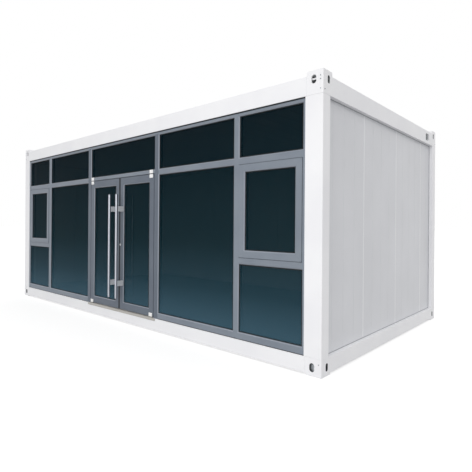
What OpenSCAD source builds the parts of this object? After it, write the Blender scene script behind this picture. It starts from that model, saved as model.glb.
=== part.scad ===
// Flat-pack container house: a steel frame on corner castings, sandwich panel
// walls on three sides and a fully glazed front with a double swing door.
// The house is centred on X and Y, stands on Z = 0 and faces -Y.

/* [House] */
// Length along the glazed front
house_l = 6600; // [6200:50:7000]
// Depth from front to back, without the door pulls
house_w = 3300; // [3100:50:3600]
// Height to the top of the corner castings
house_h = 2800; // [2750:25:2950]

/* [Corner castings] */
// Casting size along the front
casting_l = 178; // [170:1:184]
// Casting size along the depth
casting_w = 162; // [155:1:180]
// Thickness of a casting's sides
casting_wall = 16; // [10:1:20]
// Thickness of the plate that holds the lock slot
casting_plate = 28; // [20:1:30]
// How far the castings rise above the roof beams
casting_rise = 40; // [20:5:60]
// Length of the lock slot in the top or bottom plate
lock_slot_l = 124; // [110:1:124]
// Width of the lock slot in the top or bottom plate
lock_slot_w = 63.5; // [50:0.5:64]
// Width and height of the hole in a casting's front or back face
face_hole = [52, 80];
// Width and height of the hole in a casting's end face
end_hole = [40, 75];
// Distance of the face and end holes from the corner edge
hole_in = 100; // [95:1:105]
// Height of the holes below the roof corner or above the ground
hole_level = 80; // [76:1:84]

/* [Steel frame] */
// Post face on the front and the back
post_l = 190; // [180:5:220]
// Post face on the two ends
post_w = 130; // [125:5:150]
// Radius of the outer edge of posts and castings
corner_r = 6; // [2:1:10]
// Height of a roof beam
roof_beam_h = 182; // [160:2:190]
// Height of a floor beam
floor_beam_h = 153; // [145:1:170]
// Ground clearance under the floor beams
floor_lift = 15; // [5:1:20]
// Depth of a roof or floor beam
beam_d = 100; // [90:5:120]
// Wall of a beam or a floor joist
beam_wall = 6; // [4:1:10]
// Width, height and depth of the power inlet's recess in the right roof beam
inlet = [140, 95, 50];
// Distance of the power inlet's middle from the back corner
inlet_in = 372; // [340:1:400]
// Thickness of the power inlet's plate
inlet_plate = 12; // [8:1:16]
// Diameter of the power inlet's cap
inlet_cap_d = 66; // [50:1:80]
// Set-back of the cap behind the face of the beam
inlet_cap_back = 8; // [4:1:12]

/* [Floor, walls and roof] */
// Thickness of the floor deck
deck_t = 18; // [12:1:24]
// Width and height of a floor joist
joist = [50, 100];
// Number of floor joists
joist_count = 11; // [9:1:13]
// Thickness of a wall panel
panel_t = 75; // [60:5:90]
// Set-back of the wall panels behind the posts
panel_recess = 50; // [40:5:55]
// Cover width of a wall panel
panel_pitch = 915; // [880:5:940]
// Distance of an end wall's first seam from the front corner
end_seam = 955; // [900:5:980]
// Number of panels in the back wall
back_panels = 7; // [6:1:8]
// Open joint between two wall panels
seam = 3; // [2:0.5:4]
// Thickness of the ceiling panel
ceiling_t = 30; // [20:2:40]
// Thickness of the roof sheet
roof_t = 6; // [4:1:10]
// Depth of the roof sheet below the top of the roof beams
roof_drop = 60; // [40:5:80]
// Width and height of a rib on the roof sheet
roof_rib = [40, 24];
// Number of ribs on the roof sheet
roof_ribs = 20; // [16:1:22]

/* [Glazed front] */
// Set-back of the aluminium frames behind the posts
frame_recess = 10; // [5:1:20]
// Depth of the aluminium frames
frame_d = 70; // [60:5:80]
// Width of the frames beside the posts
jamb_w = 30; // [25:1:40]
// Height of the head frame
head_h = 44; // [36:1:60]
// Height of the sill frames
sill_h = 77; // [60:1:85]
// Distance of the window mullions from the middle of the house
window_mullion_x = 2240; // [2200:5:2300]
// Width of a window mullion
window_mullion_w = 80; // [60:1:90]
// Distance of the door mullions from the middle of the house
door_mullion_x = 850; // [820:5:900]
// Width of a door mullion
door_mullion_w = 90; // [80:1:100]
// Height of the top edge of the transoms above the ground
transom_top = 2095; // [2080:5:2120]
// Height of a transom beside the door
transom_h = 74; // [60:1:90]
// Height of the transom over the door
door_transom_h = 50; // [40:1:55]
// Height of the top edge of the lower window transoms
low_transom_top = 1033; // [980:1:1060]
// Height of a lower window transom
low_transom_h = 68; // [60:1:80]
// Thickness of a glass unit
pane_t = 24; // [20:1:28]
// Set-back of the glass behind the face of its frame
pane_setback = 15; // [10:1:18]
// Face width of a casement sash
sash_w = 82; // [70:1:90]
// Shadow gap around a casement sash
sash_gap = 4; // [3:1:6]
// How far a casement sash stands proud of the frames
sash_proud = 5; // [2:1:8]

/* [Door] */
// Thickness of a door leaf
leaf_t = 44; // [40:1:48]
// Gap between a leaf's heel and its mullion
heel_gap = 10; // [10:1:14]
// Gap between the two leaves
meeting_gap = 8; // [7:1:12]
// Gap over and under a leaf
leaf_gap = 8; // [6:1:12]
// Face width of a leaf's stiles
stile_w = 100; // [100:1:110]
// Height of a leaf's top rail
top_rail_h = 102; // [90:1:110]
// Height of a leaf's bottom rail
bottom_rail_h = 102; // [90:1:130]
// Distance of the pivot from a leaf's heel
pivot_in = 60; // [58:1:70]
// Length of a pull bar
pull_l = 1450; // [1200:10:1500]
// Height of a pull bar's lower end above the ground
pull_z = 350; // [330:10:400]
// Diameter of a pull bar
pull_d = 34; // [28:1:38]
// Distance of a pull bar's centre from the leaf
pull_out = 108; // [90:1:115]
// Distance of a pull bar's centre from the meeting line
pull_x = 90; // [80:1:92]
// Width and height of the blocks that carry a pull bar
pull_block = [24, 74];
// Distance of the blocks from the ends of a pull bar
pull_block_in = 205; // [150:5:250]
// Height of the lock cylinder above the ground
lock_z = 1094; // [1000:1:1150]
// Diameter of the lock cylinder's rose
lock_d = 34; // [30:1:40]
// Width, thickness and height of a pivot cover
cover = [70, 10, 48];
// Set-back of a pivot cover from the leaf's heel
cover_in = 15; // [14:1:20]
// Thickness of the threshold
threshold_t = 6; // [4:1:8]
// How far the threshold hangs down the floor beam
threshold_drop = 30; // [20:1:40]

/* [Hidden] */
$fn = 48;
// A sliver that keeps a cut clear of the face it cuts
eps = 1;

half_l = house_l / 2;
pull_reach = pull_out + pull_d / 2 - frame_recess;
front_y = pull_reach / 2 - house_w / 2;
back_y = front_y + house_w;
mid_y = (front_y + back_y) / 2;

floor_z = floor_lift + floor_beam_h;
roof_z = house_h - casting_rise;
eaves_z = roof_z - roof_beam_h;

inlet_y = back_y - inlet_in;
inlet_z = (eaves_z + roof_z) / 2;
inlet_x = half_l - inlet[2];

post_x = half_l - post_l;
wall_x = half_l - panel_recess;
wall_y = back_y - panel_recess;

frame_y = front_y + frame_recess;
pane_y = frame_y + pane_setback;
head_z = eaves_z - head_h;
sill_z = floor_z + sill_h;
transom_z = transom_top - transom_h;
low_transom_z = low_transom_top - low_transom_h;
jamb_x = post_x - jamb_w;

// Inner and outer faces of the mullions, from the middle of the house
door_in = door_mullion_x - door_mullion_w / 2;
door_out = door_mullion_x + door_mullion_w / 2;
window_in = window_mullion_x - window_mullion_w / 2;
window_out = window_mullion_x + window_mullion_w / 2;

leaf_heel = door_in - heel_gap;
leaf_toe = meeting_gap / 2;
threshold_top = floor_z + threshold_t;
leaf_z = threshold_top + leaf_gap;
leaf_top = transom_top - door_transom_h - leaf_gap;
leaf_mid_y = frame_y + leaf_t / 2;

WHITE = [0.95, 0.95, 0.97];
PANEL = [0.90, 0.90, 0.92];
GREY = [0.50, 0.53, 0.58];
GLASS = [0.20, 0.32, 0.37, 0.55];
STEEL = [0.70, 0.71, 0.74];
SHADE = [0.25, 0.27, 0.28];
BOARD = [0.62, 0.60, 0.57];

// A block between two corners
module block(low, high) {
    translate(low)
        cube(high - low);
}

// A shape drawn at the right end, and its mirror image at the left end
module both_ends() {
    children();
    mirror([1, 0, 0])
        children();
}

// A shape drawn at the front, and its mirror image at the back
module front_and_back() {
    children();
    translate([0, 2 * mid_y, 0])
        mirror([0, 1, 0])
            children();
}

// A shape drawn at the right front corner, repeated at all four corners
module four_corners() {
    both_ends()
        front_and_back()
            children();
}

// An upright bar in the right front corner with a rounded outer edge
module corner_bar(l, w, z_low, z_high) {
    translate([half_l, front_y, z_low])
        linear_extrude(z_high - z_low)
            union() {
                translate([-l, 0])
                    square([l - corner_r, w]);
                translate([-l, corner_r])
                    square([l, w - corner_r]);
                translate([-corner_r, corner_r])
                    circle(corner_r);
            }
}

// A hole with round ends along Z, its long side along X
module slot(l, w, h) {
    translate([-(l - w) / 2, -w / 2, 0])
        cube([l - w, w, h]);
    for (side = [-1, 1])
        translate([side * (l - w) / 2, 0, 0])
            cylinder(d = w, h = h);
}

// A hollow corner casting with a lock slot in one plate and two side holes
module casting(z_low, z_high, plate_low, hole_z) {
    cavity_low = z_low + (plate_low ? casting_plate : casting_wall);
    cavity_high = z_high - (plate_low ? casting_wall : casting_plate);
    slot_z = plate_low ? z_low - eps : cavity_high - eps;
    difference() {
        corner_bar(casting_l, casting_w, z_low, z_high);
        block([half_l - casting_l + casting_wall, front_y + casting_wall, cavity_low],
              [half_l - casting_wall, front_y + casting_w - casting_wall, cavity_high]);
        translate([half_l - casting_l / 2, front_y + casting_w / 2, slot_z])
            slot(lock_slot_l, lock_slot_w, casting_plate + 2 * eps);
        translate([half_l - hole_in, front_y + casting_wall + eps, hole_z])
            rotate([90, 0, 0])
                rotate([0, 0, 90])
                    slot(face_hole[1], face_hole[0], casting_wall + 2 * eps);
        translate([half_l - casting_wall - eps, front_y + hole_in, hole_z])
            rotate([0, 90, 0])
                slot(end_hole[1], end_hole[0], casting_wall + 2 * eps);
    }
}

// A hollow beam that runs along X between two corners
module beam_x(low, high) {
    wall = [0, beam_wall, beam_wall];
    over = [eps, 0, 0];
    difference() {
        block(low, high);
        block(low + wall - over, high - wall + over);
    }
}

// A hollow beam that runs along Y between two corners
module beam_y(low, high) {
    wall = [beam_wall, 0, beam_wall];
    over = [0, eps, 0];
    difference() {
        block(low, high);
        block(low + wall - over, high - wall + over);
    }
}

module top_corner_castings() {
    color(WHITE)
        four_corners()
            casting(eaves_z, house_h, false, house_h - hole_level);
}

module bottom_corner_castings() {
    color(WHITE)
        four_corners()
            casting(0, floor_z, true, hole_level);
}

module corner_posts() {
    color(WHITE)
        four_corners()
            corner_bar(post_l, post_w, floor_z, eaves_z);
}

// A beam along the front, between the castings
module long_beam(z_low, z_high) {
    beam_x([casting_l - half_l, front_y, z_low],
           [half_l - casting_l, front_y + beam_d, z_high]);
}

// A beam along the right end, between the castings
module end_beam(z_low, z_high) {
    beam_y([half_l - beam_d, front_y + casting_w, z_low],
           [half_l, back_y - casting_w, z_high]);
}

module front_roof_beam() {
    color(WHITE)
        long_beam(eaves_z, roof_z);
}

module back_roof_beam() {
    color(WHITE)
        translate([0, house_w - beam_d, 0])
            long_beam(eaves_z, roof_z);
}

// A block around the middle of the power inlet, from one X to another
module inlet_block(x_low, x_high, w, h) {
    block([x_low, inlet_y - w / 2, inlet_z - h / 2], [x_high, inlet_y + w / 2, inlet_z + h / 2]);
}

// The right beam holds the power inlet in a closed recess
module end_roof_beams() {
    color(WHITE) {
        mirror([1, 0, 0])
            end_beam(eaves_z, roof_z);
        difference() {
            union() {
                end_beam(eaves_z, roof_z);
                inlet_block(half_l - beam_d + beam_wall / 2, half_l - beam_wall / 2,
                            inlet[0] + 2 * beam_wall, roof_beam_h - beam_wall);
            }
            inlet_block(inlet_x, half_l + eps, inlet[0], inlet[1]);
        }
    }
}

module power_inlet() {
    color(SHADE) {
        inlet_block(inlet_x, inlet_x + inlet_plate, inlet[0] - 2, inlet[1] - 2);
        translate([inlet_x + inlet_plate - eps, inlet_y, inlet_z])
            rotate([0, 90, 0])
                cylinder(d = inlet_cap_d, h = inlet[2] - inlet_plate - inlet_cap_back + eps);
    }
}

module front_floor_beam() {
    color(WHITE)
        long_beam(floor_lift, floor_z);
}

module back_floor_beam() {
    color(WHITE)
        translate([0, house_w - beam_d, 0])
            long_beam(floor_lift, floor_z);
}

module end_floor_beams() {
    color(WHITE)
        both_ends()
            end_beam(floor_lift, floor_z);
}

module floor_joists() {
    joist_z = floor_z - deck_t - joist[1];
    run = house_l - 2 * casting_l - joist[0];
    color(STEEL)
        for (i = [0 : joist_count - 1])
            translate([run * (i / (joist_count - 1) - 1 / 2), 0, 0])
                beam_y([-joist[0] / 2, front_y + beam_d, joist_z],
                       [joist[0] / 2, back_y - beam_d, joist_z + joist[1]]);
}

// The four corners that castings and posts take out of a sheet
module corner_cuts(l, w, z_low, z_high) {
    four_corners()
        block([half_l - l, front_y, z_low - eps], [half_l + eps, front_y + w, z_high + eps]);
}

module floor_deck() {
    deck_z = floor_z - deck_t;
    color(BOARD)
        difference() {
            block([beam_d - half_l, front_y + beam_d, deck_z],
                  [half_l - beam_d, back_y - beam_d, floor_z]);
            corner_cuts(casting_l, casting_w, deck_z, floor_z);
        }
}

module roof_sheet() {
    sheet_z = roof_z - roof_drop;
    rib_run = house_l - 2 * casting_l - roof_rib[0];
    color(WHITE) {
        difference() {
            block([beam_d - half_l, front_y + beam_d, sheet_z],
                  [half_l - beam_d, back_y - beam_d, sheet_z + roof_t]);
            corner_cuts(casting_l, casting_w, sheet_z, sheet_z + roof_t);
        }
        for (i = [0 : roof_ribs - 1])
            translate([rib_run * (i / (roof_ribs - 1) - 1 / 2), 0, sheet_z])
                block([-roof_rib[0] / 2, front_y + beam_d, 0],
                      [roof_rib[0] / 2, back_y - beam_d, roof_rib[1]]);
    }
}

module ceiling_panel() {
    ceiling_z = eaves_z - ceiling_t;
    color(PANEL)
        difference() {
            block([panel_t - wall_x, frame_y + frame_d, ceiling_z],
                  [wall_x - panel_t, wall_y - panel_t, eaves_z]);
            corner_cuts(post_l, post_w, ceiling_z, eaves_z);
        }
}

// One end wall, as panels between its posts
module end_wall_panels() {
    low = front_y + post_w;
    high = back_y - post_w;
    cuts = [for (y = front_y + end_seam; y < high - seam; y = y + panel_pitch) y];
    edges = concat([low - seam / 2], cuts, [high + seam / 2]);
    for (i = [0 : len(edges) - 2])
        block([wall_x - panel_t, edges[i] + seam / 2, floor_z],
              [wall_x, edges[i + 1] - seam / 2, eaves_z]);
}

module right_wall_panels() {
    color(PANEL)
        end_wall_panels();
}

module left_wall_panels() {
    color(PANEL)
        mirror([1, 0, 0])
            end_wall_panels();
}

module back_wall_panels() {
    pitch = (2 * post_x + seam) / back_panels;
    color(PANEL)
        for (i = [0 : back_panels - 1])
            translate([i * pitch - post_x, 0, 0])
                block([0, wall_y - panel_t, floor_z], [pitch - seam, wall_y, eaves_z]);
}

// One bar of the aluminium front
module frame_bar(x_low, x_high, z_low, z_high) {
    block([x_low, frame_y, z_low], [x_high, frame_y + frame_d, z_high]);
}

// One glass unit of the aluminium front
module pane(x_low, x_high, z_low, z_high) {
    block([x_low, pane_y, z_low], [x_high, pane_y + pane_t, z_high]);
}

module head_frame() {
    color(GREY)
        frame_bar(-post_x, post_x, head_z, eaves_z);
}

module side_jambs() {
    color(GREY)
        both_ends()
            frame_bar(jamb_x, post_x, floor_z, head_z);
}

module sill_frames() {
    color(GREY)
        both_ends()
            frame_bar(door_out, jamb_x, floor_z, sill_z);
}

module door_mullions() {
    color(GREY)
        both_ends()
            frame_bar(door_in, door_out, floor_z, head_z);
}

module window_mullions() {
    color(GREY)
        both_ends()
            frame_bar(window_in, window_out, sill_z, head_z);
}

module transoms() {
    color(GREY) {
        frame_bar(-door_in, door_in, transom_top - door_transom_h, transom_top);
        both_ends() {
            frame_bar(door_out, window_in, transom_z, transom_top);
            frame_bar(window_out, jamb_x, transom_z, transom_top);
        }
    }
}

module low_transoms() {
    color(GREY)
        both_ends()
            frame_bar(window_out, jamb_x, low_transom_z, low_transom_top);
}

module top_light_panes() {
    color(GLASS) {
        pane(-door_in, door_in, transom_top, head_z);
        both_ends() {
            pane(door_out, window_in, transom_top, head_z);
            pane(window_out, jamb_x, transom_top, head_z);
        }
    }
}

module fixed_panes() {
    color(GLASS)
        both_ends()
            pane(door_out, window_in, sill_z, transom_z);
}

module low_panes() {
    color(GLASS)
        both_ends()
            pane(window_out, jamb_x, sill_z, low_transom_z);
}

// A casement sash: a ring that fills its opening, stepped back around its face
module casement_sashes() {
    face_y = frame_y - sash_proud;
    step_y = frame_y + pane_setback;
    color(GREY)
        both_ends()
            difference() {
                union() {
                    block([window_out + sash_gap, face_y, low_transom_top + sash_gap],
                          [jamb_x - sash_gap, step_y, transom_z - sash_gap]);
                    block([window_out, step_y, low_transom_top],
                          [jamb_x, frame_y + frame_d, transom_z]);
                }
                block([window_out + sash_w, face_y - eps, low_transom_top + sash_w],
                      [jamb_x - sash_w, frame_y + frame_d + eps, transom_z - sash_w]);
            }
}

module casement_panes() {
    color(GLASS)
        both_ends()
            pane(window_out + sash_w, jamb_x - sash_w,
                 low_transom_top + sash_w, transom_z - sash_w);
}

module transom_pivot_covers() {
    cover_x = leaf_heel - cover_in;
    color(WHITE)
        both_ends()
            block([cover_x - cover[0], frame_y - cover[1], transom_top - cover[2]],
                  [cover_x, frame_y, transom_top]);
}

// The threshold lies on the floor beam and hangs over its edge
module door_threshold() {
    lip_y = front_y - threshold_t;
    color(BOARD) {
        block([-door_in, lip_y, floor_z], [door_in, frame_y + frame_d, threshold_top]);
        block([-door_mullion_x, lip_y, floor_z - threshold_drop],
              [door_mullion_x, front_y, floor_z]);
    }
}

// The right door leaf's frame
module leaf_frame() {
    difference() {
        block([leaf_toe, frame_y, leaf_z], [leaf_heel, frame_y + leaf_t, leaf_top]);
        block([leaf_toe + stile_w, frame_y - eps, leaf_z + bottom_rail_h],
              [leaf_heel - stile_w, frame_y + leaf_t + eps, leaf_top - top_rail_h]);
    }
}

// The right door leaf's glass
module leaf_pane() {
    block([leaf_toe + stile_w, leaf_mid_y - pane_t / 2, leaf_z + bottom_rail_h],
          [leaf_heel - stile_w, leaf_mid_y + pane_t / 2, leaf_top - top_rail_h]);
}

// A shape on the outside of the right leaf, and its mirror image on the inside
module both_faces() {
    children();
    translate([0, 2 * leaf_mid_y, 0])
        mirror([0, 1, 0])
            children();
}

// The right door leaf's pull bars, one on each face
module leaf_pulls() {
    bar_y = frame_y - pull_out;
    both_faces() {
        translate([pull_x, bar_y, pull_z])
            cylinder(d = pull_d, h = pull_l);
        for (z = [pull_z + pull_block_in, pull_z + pull_l - pull_block_in])
            block([pull_x - pull_block[0] / 2, bar_y, z - pull_block[1] / 2],
                  [pull_x + pull_block[0] / 2, frame_y, z + pull_block[1] / 2]);
    }
}

// The right door leaf's pivot covers, at its top and bottom heel corners
module leaf_pivot_covers() {
    cover_x = leaf_heel - cover_in;
    both_faces()
        for (z = [leaf_z, leaf_top - cover[2]])
            block([cover_x - cover[0], frame_y - cover[1], z],
                  [cover_x, frame_y, z + cover[2]]);
}

module left_door_frame() {
    color(GREY)
        mirror([1, 0, 0])
            leaf_frame();
}

module left_door_pane() {
    color(GLASS)
        mirror([1, 0, 0])
            leaf_pane();
}

module left_door_pulls() {
    color(STEEL)
        mirror([1, 0, 0])
            leaf_pulls();
}

module left_pivot_covers() {
    color(WHITE)
        mirror([1, 0, 0])
            leaf_pivot_covers();
}

module right_door_frame() {
    color(GREY)
        leaf_frame();
}

module right_door_pane() {
    color(GLASS)
        leaf_pane();
}

module right_door_pulls() {
    color(STEEL)
        leaf_pulls();
}

module right_pivot_covers() {
    color(WHITE)
        leaf_pivot_covers();
}

module door_lock() {
    lock_t = cover[1];
    lock_x = leaf_toe + stile_w / 3;
    color(STEEL)
        both_faces()
            translate([lock_x, frame_y, lock_z])
                rotate([90, 0, 0])
                    cylinder(d = lock_d, h = lock_t);
}

top_corner_castings();
bottom_corner_castings();
corner_posts();
front_roof_beam();
back_roof_beam();
end_roof_beams();
power_inlet();
front_floor_beam();
back_floor_beam();
end_floor_beams();
floor_joists();
floor_deck();
roof_sheet();
ceiling_panel();
right_wall_panels();
left_wall_panels();
back_wall_panels();
head_frame();
side_jambs();
sill_frames();
door_mullions();
window_mullions();
transoms();
low_transoms();
top_light_panes();
fixed_panes();
low_panes();
casement_sashes();
casement_panes();
transom_pivot_covers();
door_threshold();
left_door_frame();
left_door_pane();
left_door_pulls();
left_pivot_covers();
right_door_frame();
right_door_pane();
right_door_pulls();
right_pivot_covers();
door_lock();
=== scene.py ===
import math

import bmesh
import bpy
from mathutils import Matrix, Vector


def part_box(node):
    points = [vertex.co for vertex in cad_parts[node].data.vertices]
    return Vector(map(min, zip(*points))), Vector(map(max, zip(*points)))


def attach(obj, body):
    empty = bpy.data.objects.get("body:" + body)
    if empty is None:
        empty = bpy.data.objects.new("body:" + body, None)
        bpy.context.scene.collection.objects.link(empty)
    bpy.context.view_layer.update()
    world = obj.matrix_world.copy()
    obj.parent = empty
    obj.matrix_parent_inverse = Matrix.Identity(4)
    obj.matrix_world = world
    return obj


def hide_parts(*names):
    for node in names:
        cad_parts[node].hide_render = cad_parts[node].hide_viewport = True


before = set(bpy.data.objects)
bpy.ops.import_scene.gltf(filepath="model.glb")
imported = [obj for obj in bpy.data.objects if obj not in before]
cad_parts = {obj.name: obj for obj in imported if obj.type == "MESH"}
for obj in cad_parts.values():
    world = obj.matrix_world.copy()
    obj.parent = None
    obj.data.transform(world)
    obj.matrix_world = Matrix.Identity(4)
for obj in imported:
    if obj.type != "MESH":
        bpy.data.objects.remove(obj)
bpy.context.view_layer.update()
bpy.context.scene.view_settings.view_transform = "Standard"


# Bottom corner castings
# Four hollow steel blocks that carry the house. They are welded from plate, have a lock
# slot below and a hole in each outer face, and are sprayed white with the whole frame.

mm = 0.001
casting_long, casting_wide, coat_depth = 178 * mm, 162 * mm, 2.2 * mm


def linear(code):
    """An sRGB hex colour as the linear RGBA that a shader socket takes."""
    parts = [int(code[i:i + 2], 16) / 255 for i in (0, 2, 4)]
    return [c / 12.92 if c <= 0.04045 else ((c + 0.055) / 1.055) ** 2.4 for c in parts] + [1.0]


def add_node(tree, kind, values=None, links=None, stops=None, **settings):
    """Add one shader node with its settings, socket values and links. A node links by its first output."""
    node = tree.nodes.new(kind)
    for name, value in settings.items():
        setattr(node, name, value)
    for socket, value in (values or {}).items():
        node.inputs[socket].default_value = value
    for socket, source in (links or {}).items():
        output = source.outputs[0] if isinstance(source, bpy.types.Node) else source
        tree.links.new(output, node.inputs[socket])
    for i, (position, code) in enumerate(stops or []):
        ramp = node.color_ramp.elements
        stop = ramp[i] if i < len(ramp) else ramp.new(position)
        stop.position, stop.color = position, linear(code)
    return node


def new_finish(name):
    """An empty material, its node tree and its Object coordinates in metres."""
    finish = bpy.data.materials.new(name)
    finish.use_nodes = True
    finish.node_tree.nodes.clear()
    return finish, finish.node_tree, add_node(finish.node_tree, "ShaderNodeTexCoord").outputs["Object"]


def lay_finish(tree, pattern, stops, gloss, values, skin=None, wear=None):
    """Complete a material: a pattern drives its tone, and the same or a wear pattern its gloss."""
    tone = add_node(tree, "ShaderNodeValToRGB", links={"Fac": pattern}, stops=stops)
    sheen = add_node(tree, "ShaderNodeMapRange", {"To Min": gloss[0], "To Max": gloss[1]},
                     {"Value": pattern if wear is None else wear})
    links = {"Base Color": tone, "Roughness": sheen}
    if skin is not None:
        links["Normal"] = skin
    surface = add_node(tree, "ShaderNodeBsdfPrincipled", values, links)
    add_node(tree, "ShaderNodeOutputMaterial", links={"Surface": surface})


def clear_bench():
    """Leave edit mode and deselect everything, so that the next tool acts on nothing by chance."""
    if bpy.context.mode != "OBJECT":
        bpy.ops.object.mode_set(mode="OBJECT")
    bpy.ops.object.select_all(action="DESELECT")


def open_piece(piece):
    """Make one piece the only selected object and open its mesh with everything selected."""
    clear_bench()
    piece.select_set(True)
    bpy.context.view_layer.objects.active = piece
    bpy.ops.object.mode_set(mode="EDIT")
    bpy.ops.mesh.select_all(action="SELECT")


def ease_edges(piece, radius):
    """Leave edit mode and round every sharp edge a little, so that it catches a line of light."""
    sharp_angle, smooth_angle, sliver = math.radians(30), math.radians(40), 0.02 * mm
    bpy.ops.object.mode_set(mode="OBJECT")
    rounding = piece.modifiers.new("eased_edges", "BEVEL")
    rounding.width, rounding.segments = radius, 2
    rounding.limit_method, rounding.angle_limit = "ANGLE", sharp_angle
    rounding.use_clamp_overlap = False
    bpy.ops.object.modifier_apply(modifier=rounding.name)
    open_piece(piece)
    bpy.ops.mesh.dissolve_degenerate(threshold=sliver)
    bpy.ops.object.mode_set(mode="OBJECT")
    bpy.ops.object.shade_smooth_by_angle(angle=smooth_angle)
    flats = piece.modifiers.new("even_flats", "WEIGHTED_NORMAL")
    flats.keep_sharp = True
    bpy.ops.object.modifier_apply(modifier=flats.name)


def open_copy(node):
    """A copy of a CAD node's mesh as a piece of its own, closed up and left in edit mode."""
    touching, flat_angle = 0.01 * mm, math.radians(0.5)
    piece = bpy.data.objects.new(node + "_finished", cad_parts[node].data.copy())
    bpy.context.scene.collection.objects.link(piece)
    open_piece(piece)
    bpy.ops.mesh.customdata_custom_splitnormals_clear()
    bpy.ops.mesh.remove_doubles(threshold=touching)
    bpy.ops.mesh.dissolve_limited(angle_limit=flat_angle)
    return piece


def eased_copy(node, radius):
    """A copy of a CAD node's mesh with its edges eased."""
    piece = open_copy(node)
    ease_edges(piece, radius)
    return piece


def give_finishes(piece, finishes):
    """Replace the materials of a piece."""
    piece.data.materials.clear()
    for finish in finishes:
        piece.data.materials.append(finish)


def settle(piece, body, finishes, stands_for=()):
    """Give a finished piece its materials, its body and the nodes that it stands for."""
    if list(piece.data.materials) != finishes:
        give_finishes(piece, finishes)
    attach(piece, body)
    if stands_for:
        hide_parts(*stands_for)


def clouded_finish(name, size, detail, stops, gloss, values, grain=None):
    """A material whose tone and gloss drift in clouds of one size, with a raised grain if it has one."""
    finish, tree, place = new_finish(name)
    cloud = add_node(tree, "ShaderNodeTexNoise", {"Scale": 1 / size, "Detail": detail}, {"Vector": place})
    skin = None
    if grain:
        bumps = add_node(tree, "ShaderNodeTexNoise", {"Scale": 1 / grain["size"], "Detail": grain["detail"]},
                         {"Vector": place})
        skin = add_node(tree, "ShaderNodeBump", {"Strength": grain["strength"], "Distance": grain["depth"]},
                        {"Height": bumps})
    lay_finish(tree, cloud, stops, gloss, values, skin)
    return finish


# White powder coat on steel: satin, with a faint orange peel of about 8 mm and a slow
# drift between two whites over half a metre, so that long faces don't look like paper.
white_coat = clouded_finish(
    "white_powder_coated_steel", 500 * mm, detail=3.0, stops=[(0.35, "F0F0F3"), (0.65, "F5F5F7")],
    gloss=(0.36, 0.48), values={"IOR": 1.5},
    grain={"size": 8 * mm, "detail": 1.0, "strength": 0.1, "depth": 0.5 * mm})

# Zinc-rich primer inside these castings, where the white coat doesn't reach: flat dark
# grey, patchy over about 30 mm. On the bottom castings it also covers the walls of the face
# holes, which are white on the real castings: there it is painted shade.
primer_and_painted_shade = clouded_finish(
    "grey_zinc_primer_and_painted_shade", 30 * mm, detail=3.0, stops=[(0.3, "464C4E"), (0.7, "565C5E")],
    gloss=(0.6, 0.8), values={"IOR": 1.5, "Specular IOR Level": 0.3})


def pick(kind, wanted):
    """Select the faces or edges of the open mesh that pass a test on their middle and themselves."""
    bpy.ops.mesh.select_mode(type=kind)
    bpy.ops.mesh.select_all(action="DESELECT")
    mesh = bmesh.from_edit_mesh(bpy.context.object.data)
    for part in list(mesh.faces if kind == "FACE" else mesh.edges):
        middle = part.calc_center_median() if kind == "FACE" else (part.verts[0].co + part.verts[1].co) / 2
        if wanted(middle, part):
            part.select_set(True)
    bmesh.update_edit_mesh(bpy.context.object.data)


def paint_picked(piece, finish):
    """Give the picked faces one of the piece's own finishes."""
    piece.active_material_index = list(piece.data.materials).index(finish)
    bpy.ops.object.material_slot_assign()


def finish_castings(node, lining, rim):
    """The castings of one level: white outside and as deep as a rim in the face holes, lined inside."""
    low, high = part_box(node)
    castings = eased_copy(node, radius=2 * mm)
    give_finishes(castings, [white_coat, lining])
    open_piece(castings)

    def inside(middle, face):
        from_face = min(middle.y - low.y, high.y - middle.y)
        depths = [high.x - abs(middle.x), abs(middle.x) - high.x + casting_long]
        depths += [middle.z - low.z, high.z - middle.z]
        depths += [from_face - rim + coat_depth, casting_wide - from_face]
        return min(depths) > coat_depth

    pick("FACE", inside)
    paint_picked(castings, lining)
    bpy.ops.object.mode_set(mode="OBJECT")
    settle(castings, "house", [white_coat, lining], [node])


# The walls of the face holes take the dark primer here too: painted shade.
finish_castings("bottom_corner_castings", primer_and_painted_shade, rim=coat_depth)


# Floor beams
# Cold-formed steel beams between the bottom castings, welded to them and sprayed white.
# Their outer faces lie flush with the castings, so only a fine joint shows.

for node in ("front_floor_beam", "back_floor_beam", "end_floor_beams"):
    settle(eased_copy(node, radius=3 * mm), "house", [white_coat], [node])


# Floor joists
# Galvanised box joists under the floor, set between the front and back beams, with the
# round edges of cold-formed tube.

# Hot-dip zinc: dull grey metal with crystals of about 15 mm in slightly different greys.
zinc, tree, place = new_finish("hot_dip_galvanised_steel")
spangle = add_node(tree, "ShaderNodeTexVoronoi", {"Scale": 1 / (15 * mm)}, {"Vector": place})
lay_finish(tree, spangle, [(0.0, "B9BEC2"), (0.7, "9CA1A6")], gloss=(0.4, 0.55),
           values={"Metallic": 1.0})

settle(eased_copy("floor_joists", radius=4 * mm), "house", [zinc], ["floor_joists"])


# Floor deck
# Cement boards under a glued vinyl sheet, laid on the joists. Its flecked grey shows
# through the glass and the open door.

# Commercial vinyl: mid grey with faint flecks of about 40 mm, dull with a slight sheen that
# is scuffed over about 300 mm.
vinyl, tree, place = new_finish("flecked_grey_vinyl")
fleck = add_node(tree, "ShaderNodeTexVoronoi", {"Scale": 1 / (40 * mm)}, {"Vector": place})
scuff = add_node(tree, "ShaderNodeTexNoise", {"Scale": 1 / (300 * mm), "Detail": 4.0}, {"Vector": place})
lay_finish(tree, fleck, [(0.1, "97979A"), (0.5, "9D9D9F"), (0.9, "A1A1A2")],
           gloss=(0.42, 0.62), values={"IOR": 1.5}, wear=scuff)

settle(eased_copy("floor_deck", radius=2 * mm), "house", [vinyl], ["floor_deck"])


# Corner posts
# Folded steel posts bolted between the bottom and top castings, with a rounded outer edge.
# The small easing at their ends leaves the fine joint line against the castings.

settle(eased_copy("corner_posts", radius=3 * mm), "house", [white_coat], ["corner_posts"])
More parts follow.
